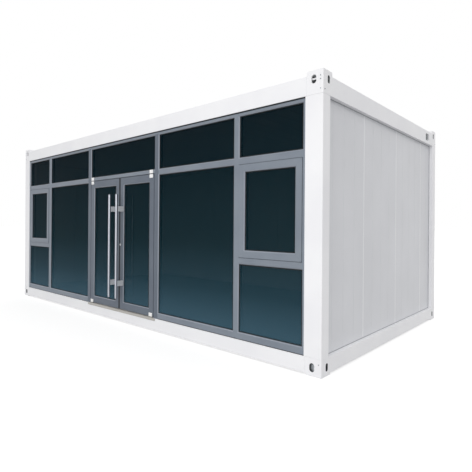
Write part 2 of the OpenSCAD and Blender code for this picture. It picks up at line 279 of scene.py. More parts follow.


# Top corner castings
# Hollow steel blocks that stand above the roof beams, with a lock slot on top. A white
# stiffener bar crosses each cavity behind the face hole, on feet welded beside it. The rim
# of that hole is sprayed white too, and small screws hold the post cover.

# A paler copy of the primer inside these castings, clouded over about 40 mm: painted
# light, which makes up for the shade in their cavities.
primer_painted_light = clouded_finish(
    "grey_primer_painted_light", 40 * mm, detail=3.0, stops=[(0.3, "82878A"), (0.7, "9A9FA1")],
    gloss=(0.55, 0.75), values={"IOR": 1.5, "Specular IOR Level": 0.3})

rim_depth, square_on = 15.5 * mm, 0.99
casting_low, casting_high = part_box("top_corner_castings")
middle_y = (casting_low.y + casting_high.y) / 2
x_axis, y_axis, z_axis = 0, 1, 2
# Inside, these castings take the paler primer, which is painted light.
finish_castings("top_corner_castings", primer_painted_light, rim=rim_depth)


def take_up(name):
    """Name the primitive that was just added, put its place into its mesh and open it."""
    piece = bpy.context.object
    piece.name = name
    bpy.ops.object.transform_apply(location=True, rotation=True, scale=True)
    open_piece(piece)
    return piece


def start_block(name, low, high):
    """A cube between two corners, opened in edit mode."""
    clear_bench()
    bpy.ops.mesh.primitive_cube_add(size=1, location=[(a + b) / 2 for a, b in zip(low, high)])
    bpy.context.object.scale = [b - a for a, b in zip(low, high)]
    return take_up(name)


def mirror_too(axis, middle):
    """Add the mirror image of the whole open mesh across a plane, and turn all faces outwards."""
    bpy.ops.mesh.select_mode(type="FACE")
    bpy.ops.mesh.select_all(action="SELECT")
    bpy.ops.mesh.duplicate()
    flip, centre = [1, 1, 1], [0, 0, 0]
    flip[axis], centre[axis] = -1, middle
    bpy.ops.transform.resize(value=flip, center_override=centre)
    bpy.ops.mesh.select_all(action="SELECT")
    bpy.ops.mesh.normals_make_consistent(inside=False)


def mirror_to_corners():
    """Repeat the open mesh of the front right corner at the other three corners of the house."""
    mirror_too(x_axis, 0)
    mirror_too(y_axis, middle_y)


def join_pieces(name, pieces):
    """Join pieces into one mesh under one name, and open it."""
    clear_bench()
    for piece in pieces:
        piece.select_set(True)
    bpy.context.view_layer.objects.active = pieces[0]
    bpy.ops.object.join()
    pieces[0].name = name
    open_piece(pieces[0])
    return pieces[0]


hole_x, hole_half, foot_width, weld = casting_high.x - 100 * mm, 26.3 * mm, 12 * mm, 2 * mm
bar_front, bar_back, bar_set_in = casting_low.y + 22 * mm, casting_low.y + 32 * mm, 16 * mm
bar_foot, bar_head = casting_high.z - 80 * mm, casting_high.z - 63 * mm
bar = start_block("bar", (casting_high.x - casting_long + bar_set_in, bar_front, bar_foot),
                  (casting_high.x - bar_set_in, bar_back, bar_head))
feet = start_block("feet", (hole_x + hole_half, casting_low.y + rim_depth, bar_foot),
                   (hole_x + hole_half + foot_width, bar_front + weld, bar_head))
mirror_too(x_axis, hole_x)
stiffeners = join_pieces("casting_stiffeners", [bar, feet])
mirror_to_corners()
ease_edges(stiffeners, radius=1.5 * mm)
settle(stiffeners, "house", [white_coat])


def extrude_picked(move):
    """Extrude the picked faces by a move."""
    bpy.ops.mesh.extrude_region_move(TRANSFORM_OT_translate={"value": move})


def start_rod(name, at, radius, length, turn=(0, 0, 0), sides=40):
    """A round rod about a middle point, upright unless turned, opened in edit mode."""
    clear_bench()
    bpy.ops.mesh.primitive_cylinder_add(vertices=sides, radius=radius, depth=length, location=at,
                                        rotation=turn)
    return take_up(name)


def start_screw(name, at, facing, radius):
    """A pan-head screw on a face: a disc with a domed edge and a sunk recess, left in edit mode."""
    quarter = math.pi / 2
    turn = {"front": (quarter, 0, 0), "right": (0, quarter, 0), "up": (0, 0, 0)}[facing]
    axis = {"front": (0, -1, 0), "right": (1, 0, 0), "up": (0, 0, 1)}[facing]
    disc, dome, recess, dome_share, rim_share = 6 * mm, 1 * mm, 2 * mm, 0.2, 0.35
    screw = start_rod(name, at, radius, disc, turn, sides=16)
    pick("FACE", lambda middle, face: sum(a * b for a, b in zip(face.normal, axis)) > square_on)
    bpy.ops.mesh.inset(thickness=radius * dome_share)
    bpy.ops.transform.translate(value=[dome * part for part in axis])
    bpy.ops.mesh.inset(thickness=radius * rim_share)
    extrude_picked([-recess * part for part in axis])
    return screw


def finish_screws(screws):
    """Leave edit mode, shade a group of screws round and fix it to the house."""
    bpy.ops.object.mode_set(mode="OBJECT")
    bpy.ops.object.shade_smooth_by_angle(angle=math.radians(35))
    settle(screws, "house", [zinc])


# Zinc-plated pan-head screws: three in the front and one in the end of each top casting,
# and one in the front of each bottom casting.
screw_radius, screw_lift, screw_set_in = 5.5 * mm, 0.5 * mm, 28 * mm
front_heights = [casting_high.z - below for below in (60 * mm, 92 * mm, 177 * mm)] + [120 * mm]
end_height = casting_high.z - 182 * mm
casting_screws = []
for z in front_heights:
    at = (casting_high.x - screw_set_in, casting_low.y - screw_lift, z)
    casting_screws.append(start_screw("casting_screws", at, "front", screw_radius))
at = (casting_high.x + screw_lift, casting_low.y + screw_set_in, end_height)
casting_screws.append(start_screw("casting_screws", at, "right", screw_radius))
casting_screws = join_pieces("casting_screws", casting_screws)
mirror_to_corners()
finish_screws(casting_screws)


# Backing plates
# Galvanised plates welded into the bottom castings behind the front and back holes, where
# they keep dirt out of the floor beams. They leave the lock slots free.

plate_face, plate_set_in, plate_foot, plate_head = casting_low.y + 24 * mm, 17 * mm, 38 * mm, 103 * mm
plate_thickness, plate_border, plate_dish = 4 * mm, 8 * mm, 1 * mm
plates = start_block("casting_backing_plates",
                     (casting_high.x - casting_long + plate_set_in, plate_face, plate_foot),
                     (casting_high.x - plate_set_in, plate_face + plate_thickness, plate_head))
pick("FACE", lambda middle, face: face.normal.y < -square_on)
bpy.ops.mesh.inset(thickness=plate_border)
bpy.ops.transform.translate(value=(0, plate_dish, 0))
mirror_to_corners()
ease_edges(plates, radius=0.8 * mm)
settle(plates, "house", [zinc])


# Roof beams
# Cold-formed steel beams between the top castings, like the floor beams but deeper. Their
# tops stay below the castings, so that stacked houses rest on the castings alone. The right
# one has a pressed recess with round corners for the power inlet.

for node in ("front_roof_beam", "back_roof_beam"):
    settle(eased_copy(node, radius=3 * mm), "house", [white_coat], [node])

inlet_low, inlet_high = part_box("power_inlet")
inlet_middle = (inlet_low + inlet_high) / 2


def near_inlet_corner(middle, edge):
    """An edge along X at a corner of the power inlet's plate or recess."""
    shortest, near = 8 * mm, 2 * mm
    along = abs(edge.verts[0].co.x - edge.verts[1].co.x) > shortest
    beside = abs(abs(middle.y - inlet_middle.y) - inlet_high.y + inlet_middle.y) < near
    level = abs(abs(middle.z - inlet_middle.z) - inlet_high.z + inlet_middle.z) < near
    return along and beside and level and middle.x > inlet_low.x


def round_picked(radius, steps):
    """Round the picked edges to a radius in a few steps."""
    bpy.ops.mesh.bevel(offset=radius, segments=steps, affect="EDGES")


end_beams = open_copy("end_roof_beams")
pick("EDGE", near_inlet_corner)
round_picked(radius=18 * mm, steps=5)
ease_edges(end_beams, radius=3 * mm)
settle(end_beams, "house", [white_coat], ["end_roof_beams"])


# Power inlet
# A moulded inlet for the supply cable at the bottom of the recess in the right roof beam: a
# plate with round corners, held by four screws, and a round cap with a raised grip.

# Moulded grey plastic: mid grey, dull, clouded over about 30 mm.
grey_plastic = clouded_finish(
    "grey_moulded_plastic", 30 * mm, detail=2.0, stops=[(0.3, "868C8E"), (0.7, "909698")],
    gloss=(0.42, 0.55), values={"IOR": 1.46})

cap_rim, cap_sink, grip_ring, grip_rise = 4 * mm, 3 * mm, 12 * mm, 6 * mm
power_inlet = open_copy("power_inlet")
pick("EDGE", near_inlet_corner)
round_picked(radius=17 * mm, steps=5)
pick("FACE", lambda middle, face: face.normal.x > square_on and middle.x > inlet_high.x - 0.5 * mm)
bpy.ops.mesh.inset(thickness=cap_rim)
extrude_picked((-cap_sink, 0, 0))
bpy.ops.mesh.inset(thickness=grip_ring)
extrude_picked((grip_rise, 0, 0))
ease_edges(power_inlet, radius=1 * mm)
settle(power_inlet, "house", [grey_plastic], ["power_inlet"])

inlet_plate, plate_margin, small_screw_radius = 11.5 * mm, 13 * mm, 4.5 * mm
at = (inlet_low.x + inlet_plate, inlet_high.y - plate_margin, inlet_high.z - plate_margin)
inlet_screws = start_screw("power_inlet_screws", at, "right", small_screw_radius)
mirror_too(y_axis, inlet_middle.y)
mirror_too(z_axis, inlet_middle.z)
finish_screws(inlet_screws)


# Roof sheet
# One pressed steel tray with raised ribs, set down between the roof beams and held by
# screws through the ribs in three rows.

settle(eased_copy("roof_sheet", radius=2 * mm), "house", [white_coat], ["roof_sheet"])


def repeat_row(piece, count, step):
    """Leave edit mode and repeat a piece in a row with an even step."""
    bpy.ops.object.mode_set(mode="OBJECT")
    row = piece.modifiers.new("row", "ARRAY")
    row.use_relative_offset, row.use_constant_offset = False, True
    row.count, row.constant_offset_displace = count, step
    bpy.ops.object.modifier_apply(modifier=row.name)


rib_count, last_rib, row_count, row_gap, roof_screw_radius = 20, 3.102, 3, 1.300, 7 * mm
at = (-last_rib, middle_y - row_gap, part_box("roof_sheet")[1].z)
roof_screws = start_screw("roof_screws", at, "up", roof_screw_radius)
repeat_row(roof_screws, rib_count, (2 * last_rib / (rib_count - 1), 0, 0))
repeat_row(roof_screws, row_count, (0, row_gap, 0))
finish_screws(roof_screws)


# Ceiling
# Coated steel strips 200 mm wide, clipped side by side under the roof frame. It shows
# through the glass and the open door.

# Coil-coated white steel strip: smooth and slightly glossy, with slow waves of about 0.6 m
# in tone and gloss.
strip_coat = clouded_finish(
    "white_coil_coated_strip", 600 * mm, detail=2.0, stops=[(0.3, "EAEBED"), (0.7, "F0F1F2")],
    gloss=(0.3, 0.42), values={"IOR": 1.5})


def cut_across(axis, places):
    """Cut the whole open mesh at places along one axis."""
    normal = [int(i == axis) for i in range(3)]
    for distance in places:
        bpy.ops.mesh.select_all(action="SELECT")
        bpy.ops.mesh.bisect(plane_co=[distance * part for part in normal], plane_no=normal)


def press_grooves(along, lines, width, facing, surface, sink):
    """Cut a pair of lines at every groove of the open mesh, and press in the strip between them."""
    cut_across(along, [line + side * width / 2 for line in lines for side in (-1, 1)])
    pick("FACE", lambda middle, face: abs(middle[facing] - surface) < 0.1 * mm
         and min(abs(middle[along] - line) for line in lines) < width / 4)
    extrude_picked([sink if i == facing else 0 for i in range(3)])


strip_width, groove_width, groove_depth, strips_each_side = 200 * mm, 4 * mm, 4 * mm, 15
ceiling = open_copy("ceiling_panel")
strip_joints = [i * strip_width for i in range(-strips_each_side, strips_each_side + 1)]
press_grooves(x_axis, strip_joints, groove_width, z_axis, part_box("ceiling_panel")[0].z, groove_depth)
ease_edges(ceiling, radius=0.8 * mm)
settle(ceiling, "house", [strip_coat], ["ceiling_panel"])


# Wall panels
# Sandwich panels about 0.9 m wide: two coated steel skins on a foam core, set in from the
# posts and pushed together, with a fine open joint between them. Three shallow lines are
# rolled into the outer skin of each, a quarter of its width apart.

# Coil-coated steel skin: a cooler, slightly glossier white than the frame. The thin skin
# is never quite flat, so slow waves of about 0.5 m by 1.4 m bend its reflections.
panel_coat, tree, place = new_finish("white_coil_coated_panel")
waves_per_metre = (2.0, 2.0, 0.7)
drift = add_node(tree, "ShaderNodeTexNoise", {"Scale": 1 / (800 * mm), "Detail": 2.0}, {"Vector": place})
stretch = add_node(tree, "ShaderNodeMapping", {"Scale": waves_per_metre}, {"Vector": place})
buckle = add_node(tree, "ShaderNodeTexNoise", {"Scale": 1.0, "Detail": 1.0}, {"Vector": stretch})
skin = add_node(tree, "ShaderNodeBump", {"Strength": 0.1, "Distance": 4 * mm}, {"Height": buckle})
lay_finish(tree, drift, [(0.35, "D9DADE"), (0.65, "DEDFE3")], gloss=(0.26, 0.36),
           values={"IOR": 1.5, "Specular IOR Level": 0.2}, skin=skin)

end_panel, end_seam, back_panel, line_width, line_depth = 0.915, 0.2775, 0.889, 2.5 * mm, 1.2 * mm
back_seam = back_panel / 2
for node, facing, along, outward, seam, panel in (
        ("right_wall_panels", x_axis, y_axis, 1, end_seam, end_panel),
        ("left_wall_panels", x_axis, y_axis, -1, end_seam, end_panel),
        ("back_wall_panels", y_axis, x_axis, 1, back_seam, back_panel)):
    low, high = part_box(node)
    quarters = [seam + i * panel / 4 for i in range(-16, 17) if i % 4]
    lines = [line for line in quarters if low[along] < line < high[along]]
    wall = open_copy(node)
    outer_skin = high[facing] if outward > 0 else low[facing]
    press_grooves(along, lines, line_width, facing, outer_skin, -outward * line_depth)
    ease_edges(wall, radius=0.4 * mm)
    settle(wall, "house", [panel_coat], [node])


# Panel joints
# Slim folded strips in the frame's white, clipped over every joint between two wall panels
# on the outside. They read as light lines on the greyer panels.

joint_half, joint_root, joint_rise = 5 * mm, 2 * mm, 1.5 * mm
wall_low, wall_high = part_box("right_wall_panels")
wall_foot, wall_head, wall_face = wall_low.z, wall_high.z, wall_high.x
wall_side, wall_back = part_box("back_wall_panels")[1].xy
joints = []
for i in (-1, 0, 1):
    y = end_seam + i * end_panel
    joints.append(start_block("panel_joints", (wall_face - joint_root, y - joint_half, wall_foot),
                              (wall_face + joint_rise, y + joint_half, wall_head)))
for i in (0, 1, 2):
    x = back_seam + i * back_panel
    joints.append(start_block("panel_joints", (x - joint_half, wall_back - joint_root, wall_foot),
                              (x + joint_half, wall_back + joint_rise, wall_head)))
panel_joints = join_pieces("panel_joints", joints)
mirror_too(x_axis, 0)
ease_edges(panel_joints, radius=1 * mm)
settle(panel_joints, "house", [white_coat])


# Wall sealant
# A bead of grey sealant in the corner between the wall panels and the frame. It is gunned
# by hand round the foot, the head and both sides of each wall.

# Polyurethane sealant: light grey, dull, a little uneven over about 60 mm.
sealant = clouded_finish(
    "grey_polyurethane_sealant", 60 * mm, detail=2.0, stops=[(0.3, "A3A6AA"), (0.7, "AEB1B5")],
    gloss=(0.5, 0.65), values={"IOR": 1.5, "Specular IOR Level": 0.3})


def one_side(side, near, far):
    """A span on the left or the right of the middle, from its lower to its higher end."""
    return sorted((side * near, side * far))


bead_width, bead_root = 6 * mm, 1 * mm
foot_band, head_band = (wall_foot, wall_foot + bead_width), (wall_head - bead_width, wall_head)
side_band = (foot_band[1], head_band[0])
end_span, back_span = (wall_low.y, wall_high.y), (-wall_side, wall_side)
beads = []
for facing, side, face, (near, far) in ((x_axis, 1, wall_face, end_span), (x_axis, -1, wall_face, end_span),
                                        (y_axis, 1, wall_back, back_span)):
    across = one_side(side, face - bead_root, face + bead_width)
    for along, band in (((near, far), foot_band), ((near, far), head_band),
                        ((near, near + bead_width), side_band), ((far - bead_width, far), side_band)):
        spans = (across, along, band) if facing == x_axis else (along, across, band)
        beads.append(start_block("bead", *zip(*spans)))
wall_sealant = join_pieces("wall_sealant", beads)
ease_edges(wall_sealant, radius=2 * mm)
settle(wall_sealant, "house", [sealant])


# Front frame
# Extruded aluminium bars that fill the front between posts and beams: head, jambs, sills,
# mullions and transoms, notched together and screwed to the steel. Every glazed opening
# ends in a sloped glazing bead.

# Blue-grey powder coat on aluminium: satin, with a fine sand texture of about 3 mm, drawn
# coarser than the real grain so that it shows. A darker copy of it on the door set is painted shade.
grey_coat, door_coat_painted_shade = [clouded_finish(
    name, 300 * mm, detail=3.0, stops=[(0.35, dark), (0.65, light)],
    gloss=(0.38, 0.5), values={"IOR": 1.5, "Specular IOR Level": 0.25},
    grain={"size": 3 * mm, "detail": 2.0, "strength": 0.12, "depth": 0.3 * mm})
    for name, dark, light in (("blue_grey_powder_coated_aluminium", "7C848F", "838B95"),
                              ("blue_grey_aluminium_painted_shade", "616975", "68707B"))]

# The beads carry a lighter copy of the same coat: painted light, for the line of light that the sloped beads
# catch.
bead_coat_painted_light = clouded_finish(
    "blue_grey_bead_painted_light", 200 * mm, detail=3.0, stops=[(0.35, "8D949F"), (0.65, "959CA7")],
    gloss=(0.34, 0.44), values={"IOR": 1.5})

# Edges of the bars from the middle of the front to its right end, and from its foot to its head.
door_post_width, door_rail_height, bead = 90 * mm, 50 * mm, 9 * mm
head_low, head_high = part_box("head_frame")
sill_low, sill_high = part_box("sill_frames")
door_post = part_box("door_mullions")[1].x
doorway_edge = door_post - door_post_width
bay_edge, window_post, jamb_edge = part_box("fixed_panes")[1].x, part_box("window_mullions")[1].x, sill_high.x
frame_end, frame_face, frame_back = head_high.x, head_low.y, head_high.y
low_rail_foot, low_rail_top = [corner.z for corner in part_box("low_transoms")]
rail_foot, rail_top = [corner.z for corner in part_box("transoms")]
door_rail_foot = rail_top - door_rail_height
frame_foot, sill_top, light_head, frame_head = sill_low.z, sill_high.z, head_low.z, head_high.z

# Openings by their left, right, foot and head.
right_lights = [(window_post, jamb_edge, rail_top, light_head),
                (door_post, bay_edge, rail_top, light_head),
                (door_post, bay_edge, sill_top, rail_foot),
                (window_post, jamb_edge, sill_top, low_rail_foot)]
left_lights = [(-right, -left, foot, head) for left, right, foot, head in right_lights]
lights = right_lights + left_lights + [(-doorway_edge, doorway_edge, rail_top, light_head)]
right_casement = (window_post, jamb_edge, low_rail_top, rail_foot)
casements = [right_casement, (-jamb_edge, -window_post, low_rail_top, rail_foot)]
doorway = (-doorway_edge, doorway_edge, frame_foot, door_rail_foot)


def start_plate(name, left, right, foot, head, y):
    """An upright plate that faces the front, opened in edit mode."""
    clear_bench()
    bpy.ops.mesh.primitive_plane_add(size=1, location=((left + right) / 2, y, (foot + head) / 2),
                                     rotation=(math.pi / 2, 0, 0))
    bpy.context.object.scale = (right - left, head - foot, 1)
    return take_up(name)


def within(middle, opening):
    """Whether a point lies inside an opening, seen from the front."""
    left, right, foot, head = opening
    return left < middle.x < right and foot < middle.z < head


def draw_back(depth):
    """Give the open plate its depth towards the back, with all faces outwards."""
    bpy.ops.mesh.select_mode(type="FACE")
    bpy.ops.mesh.select_all(action="SELECT")
    extrude_picked((0, depth, 0))
    bpy.ops.mesh.select_all(action="SELECT")
    bpy.ops.mesh.normals_make_consistent(inside=False)


def on_rim(middle, opening, y):
    """Whether a point lies on the edge of an opening in one upright plane."""
    near = 0.02 * mm
    left, right, foot, head = opening
    beside = min(abs(middle.x - left), abs(middle.x - right)) < near and foot - near < middle.z < head + near
    level = min(abs(middle.z - foot), abs(middle.z - head)) < near and left - near < middle.x < right + near
    return abs(middle.y - y) <= near and (beside or level)


def slope_beads(piece, openings, *sides):
    """Slope the rims of openings on both sides towards the glass, in the lighter coat that paints light on
    the beads.
    """
    for y in sides:
        pick("EDGE", lambda middle, edge: any(on_rim(middle, opening, y) for opening in openings))
        bpy.ops.mesh.bevel(offset=bead, segments=1, affect="EDGES", clamp_overlap=False)
        bpy.ops.mesh.select_mode(type="FACE")
        paint_picked(piece, bead_coat_painted_light)


front_frame = start_plate("front_frame", -frame_end, frame_end, frame_foot, frame_head, frame_face)
give_finishes(front_frame, [grey_coat, bead_coat_painted_light, door_coat_painted_shade])
uprights = (doorway_edge, door_post, bay_edge, window_post, jamb_edge)
cut_across(x_axis, [side * x for x in uprights for side in (-1, 1)])
cut_across(z_axis, (sill_top, low_rail_foot, low_rail_top, rail_foot, door_rail_foot, rail_top, light_head))
pick("FACE", lambda middle, face: any(within(middle, opening) for opening in lights + casements + [doorway]))
bpy.ops.mesh.delete(type="FACE")
draw_back(frame_back - frame_face)
# The door mullions take the darker copy of the coat, which is painted shade.
pick("FACE", lambda middle, face: doorway_edge - 0.1 * mm < abs(middle.x) < door_post + 0.1 * mm
     and middle.z < light_head)
paint_picked(front_frame, door_coat_painted_shade)
slope_beads(front_frame, lights, frame_face, frame_back)
ease_edges(front_frame, radius=1.2 * mm)
settle(front_frame, "house", [grey_coat, bead_coat_painted_light, door_coat_painted_shade],
       ["head_frame", "side_jambs", "sill_frames", "door_mullions", "window_mullions",
        "transoms", "low_transoms"])


# Rubber seals of the front frame
# Black rubber strips: a wedge between bead and glass on both faces of every pane, a seal
# under the roof beam along the head frame, a slim one along the foot of each sill frame,
# and a stop behind each casement sash.

# EPDM rubber: nearly black, dull, with a faint bloom in patches of about 40 mm.
rubber = clouded_finish(
    "black_epdm_rubber", 40 * mm, detail=3.0, stops=[(0.3, "111314"), (0.75, "1D2022")],
    gloss=(0.5, 0.7), values={"IOR": 1.5, "Specular IOR Level": 0.3})

wedge_width, wedge_depth = 10 * mm, 4 * mm
stop_width, stop_depth, stop_behind = 14 * mm, 10 * mm, 16 * mm
seal_root, head_seal, head_seal_lift, sill_seal, sill_seal_lift = 1 * mm, 12 * mm, 5 * mm, 6 * mm, 2 * mm


def strip_round(opening, width, y, depth):
    """A strip round the inside of an opening: a plate with its middle cut out, drawn to its depth."""
    strip = start_plate("strip", *opening, y)
    bpy.ops.mesh.inset(thickness=width)
    bpy.ops.mesh.delete(type="FACE")
    draw_back(depth)
    return strip


def wedges_at(opening, panes):
    """The strips in front of and behind the glass of an opening, where its panes lie."""
    pane_face, pane_back = [corner.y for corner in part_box(panes)]
    return [strip_round(opening, wedge_width, y, wedge_depth) for y in (pane_face - wedge_depth, pane_back)]


strips = []
for light in lights:
    strips += wedges_at(light, "fixed_panes")
for casement in casements:
    strips.append(strip_round(casement, stop_width, frame_face + stop_behind, stop_depth))
strips.append(start_block("strip", (-frame_end, frame_face - head_seal_lift, frame_head - head_seal),
                          (frame_end, frame_face + seal_root, frame_head)))
strips.append(start_block("strip", (door_post, frame_face - sill_seal_lift, frame_foot),
                          (frame_end, frame_face + seal_root, frame_foot + sill_seal)))
mirror_too(x_axis, 0)
frame_seals = join_pieces("front_frame_seals", strips)
ease_edges(frame_seals, radius=1 * mm)
settle(frame_seals, "house", [rubber])


# Casement sashes
# Two aluminium sashes in the end bays, each of four bars cut at 45 degrees and crimped
# together. They stand a little proud of the frame, with a dark gap all round.

def drawn_in(opening, margin):
    """An opening made smaller by a margin all round."""
    left, right, foot, head = opening
    return (left + margin, right - margin, foot + margin, head - margin)


sash_gap, sash_bars = 4 * mm, 78 * mm
sash_face, sash_back = [corner.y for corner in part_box("casement_sashes")]
sash_outside = drawn_in(right_casement, sash_gap)
sash_glass = drawn_in(sash_outside, sash_bars)
sashes = start_plate("casement_sashes_mitred", *sash_outside, sash_face)
give_finishes(sashes, [grey_coat, bead_coat_painted_light])
bpy.ops.mesh.inset(thickness=sash_bars)
bpy.ops.mesh.delete(type="FACE")
pick("EDGE", lambda middle, edge: min(abs(edge.verts[0].co.x - edge.verts[1].co.x),
                                      abs(edge.verts[0].co.z - edge.verts[1].co.z)) > 1 * mm)
bpy.ops.mesh.edge_split(type="EDGE")
draw_back(sash_back - sash_face)
slope_beads(sashes, [sash_glass], sash_face, sash_back)
mirror_too(x_axis, 0)
ease_edges(sashes, radius=1.2 * mm)
settle(sashes, "house", [grey_coat, bead_coat_painted_light], ["casement_sashes"])

sash_seals = join_pieces("casement_sash_seals", wedges_at(sash_glass, "casement_panes"))
mirror_too(x_axis, 0)
ease_edges(sash_seals, radius=1 * mm)
settle(sash_seals, "house", [rubber])


# Glass
# Sealed double glazing, tinted and faintly mirrored, set between beads and rubber wedges.
# The flat polished sheets have ground edges.

# Tinted glass: a deep teal, partly clear, so that frames and room behind it can be made out.
# It gets lighter towards the floor: a painted reflection of the bright ground.
tinted_glass_painted_reflection, tree, place = new_finish("dark_tinted_glass_painted_reflection")
painted_reflection_foot, painted_reflection_head = 0.2, 2.5
axes = add_node(tree, "ShaderNodeSeparateXYZ", links={"Vector": place})
height = add_node(tree, "ShaderNodeMapRange", {"From Min": painted_reflection_foot, "From Max": painted_reflection_head},
                  {"Value": axes.outputs["Z"]})
tone = add_node(tree, "ShaderNodeValToRGB", links={"Fac": height},
                stops=[(0.0, "48697A"), (0.2, "2B4753"), (0.42, "152F37"), (1.0, "0A1D25")])
pane = add_node(tree, "ShaderNodeBsdfPrincipled",
                {"Roughness": 0.03, "IOR": 1.5, "Specular IOR Level": 0.004, "Alpha": 0.6},
                {"Base Color": tone})
add_node(tree, "ShaderNodeOutputMaterial", links={"Surface": pane})

for node, body in (("top_light_panes", "house"), ("fixed_panes", "house"), ("low_panes", "house"),
                   ("casement_panes", "house"), ("left_door_pane", "left_door"),
                   ("right_door_pane", "right_door")):
    settle(eased_copy(node, radius=1 * mm), body, [tinted_glass_painted_reflection], [node])


# Door threshold
# An anodised aluminium strip screwed to the floor beam under the two leaves, with fine
# ridges against slipping and a lip that hangs down the beam.

def brushed_finish(name, streaks_per_metre, stops, gloss, metallic):
    """A metal brushed along one axis, with long streaks in its tone and gloss."""
    finish, tree, place = new_finish(name)
    stretch = add_node(tree, "ShaderNodeMapping", {"Scale": streaks_per_metre}, {"Vector": place})
    streak = add_node(tree, "ShaderNodeTexNoise", {"Scale": 1.0, "Detail": 2.0}, {"Vector": stretch})
    lay_finish(tree, streak, stops, gloss, values={"Metallic": metallic})
    return finish


# Anodised aluminium in a warm grey, brushed along its length: streaks about 2 mm wide and
# 250 mm long, drawn coarser than the real ones so that they show.
warm_anodised = brushed_finish(
    "warm_grey_anodised_aluminium", streaks_per_metre=(4.0, 500.0, 500.0),
    stops=[(0.3, "A8A5A0"), (0.7, "BDBAB5")], gloss=(0.35, 0.55), metallic=0.4)

threshold = eased_copy("door_threshold", radius=1.5 * mm)
settle(threshold, "house", [warm_anodised], ["door_threshold"])

ridge_half, ridge_width, ridge_root, ridge_rise = 0.800, 4 * mm, 1 * mm, 1.2 * mm
ridge_count, ridge_pitch, first_ridge = 5, 11 * mm, 18 * mm
tread_low, tread_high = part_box("door_threshold")
ridge_y = tread_low.y + first_ridge
ridges = start_block("threshold_ridges", (-ridge_half, ridge_y, tread_high.z - ridge_root),
                     (ridge_half, ridge_y + ridge_width, tread_high.z + ridge_rise))
ease_edges(ridges, radius=0.9 * mm)
repeat_row(ridges, ridge_count, (0, ridge_pitch, 0))
settle(ridges, "house", [warm_anodised])


# Door leaves
# Two glazed aluminium leaves: stiles over the full height with rails between them, joined
# by corner blocks inside. Each turns on pivots near its heel and carries its glass in
# beads and rubber like the fixed lights.

leaf_low, leaf_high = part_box("right_door_frame")
leaf_toe, leaf_heel, leaf_foot, leaf_head = leaf_low.x, leaf_high.x, leaf_low.z, leaf_high.z
leaf_face, leaf_back, leaf_middle = leaf_low.y, leaf_high.y, (leaf_low.y + leaf_high.y) / 2
pane_low, pane_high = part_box("right_door_pane")
brush_rise, brush_half, brush_end, lip_width, lip_half = 1.5 * mm, 6 * mm, 4 * mm, 13 * mm, 1 * mm

for side, body in ((-1, "left_door"), (1, "right_door")):
    light = (*one_side(side, pane_low.x, pane_high.x), pane_low.z, pane_high.z)
    leaf = start_plate(body + "_leaf", *one_side(side, leaf_toe, leaf_heel), leaf_foot, leaf_head, leaf_face)
    # The leaves take the darker copy of the coat, which is painted shade.
    give_finishes(leaf, [door_coat_painted_shade, bead_coat_painted_light])
    cut_across(x_axis, light[:2])
    cut_across(z_axis, light[2:])
    pick("FACE", lambda middle, face: within(middle, light))
    bpy.ops.mesh.delete(type="FACE")
    pick("EDGE", lambda middle, edge: min(abs(middle.x - light[0]), abs(middle.x - light[1])) < 0.1 * mm
         and not light[2] < middle.z < light[3])
    bpy.ops.mesh.edge_split(type="EDGE")
    draw_back(leaf_back - leaf_face)
    slope_beads(leaf, [light], leaf_face, leaf_back)
    ease_edges(leaf, radius=1.2 * mm)
    settle(leaf, body, [door_coat_painted_shade, bead_coat_painted_light], [body + "_frame"])

    toe = one_side(side, leaf_toe, leaf_toe - brush_rise)
    brush_strip = start_block("strip", (toe[0], leaf_middle - brush_half, leaf_foot + brush_end),
                              (toe[1], leaf_middle + brush_half, leaf_head - brush_end))
    lip = one_side(side, leaf_toe, leaf_toe + lip_width)
    meeting_lip = start_block("strip", (lip[0], leaf_face - lip_half, leaf_foot),
                              (lip[1], leaf_face + lip_half, leaf_head))
    mirror_too(y_axis, leaf_middle)
    leaf_seals = join_pieces(body + "_seals", wedges_at(light, body + "_pane") + [brush_strip, meeting_lip])
    ease_edges(leaf_seals, radius=0.6 * mm)
    settle(leaf_seals, body, [rubber])


# Pull bars
# Long round tubes of brushed stainless steel, one on each face of each leaf. Two square
# blocks carry each tube, bolted through the stile, and pressed caps close its ends.

# Stainless steel brushed along the tube: streaks about 1 mm wide and 300 mm long, drawn
# coarser than the real ones so that they show.
stainless = brushed_finish(
    "brushed_stainless_steel", streaks_per_metre=(900.0, 900.0, 3.0),
    stops=[(0.3, "A2A4AC"), (0.7, "B4B7BE")], gloss=(0.26, 0.4), metallic=1.0)

# The blocks are cast and bead-blasted, so they look lighter and duller than the tubes. The
# frosted grain is drawn coarse, at about 2 mm.
blasted = clouded_finish(
    "bead_blasted_stainless_steel", 2 * mm, detail=2.0, stops=[(0.3, "D2D4D9"), (0.7, "DADCE0")],
    gloss=(0.45, 0.6), values={"Metallic": 0.2})

pull_x, pull_radius, pull_foot, pull_top, pull_off = 0.090, 0.017, 0.350, 1.800, 0.108
pull_y = leaf_face - pull_off
cap_length, cap_line, cap_line_depth = 6 * mm, 2 * mm, 1.2 * mm
cap_end = cap_length + cap_line
block_half, block_tall_half, block_from_end, block_end = 12 * mm, 37 * mm, 205 * mm, pull_y + 4 * mm

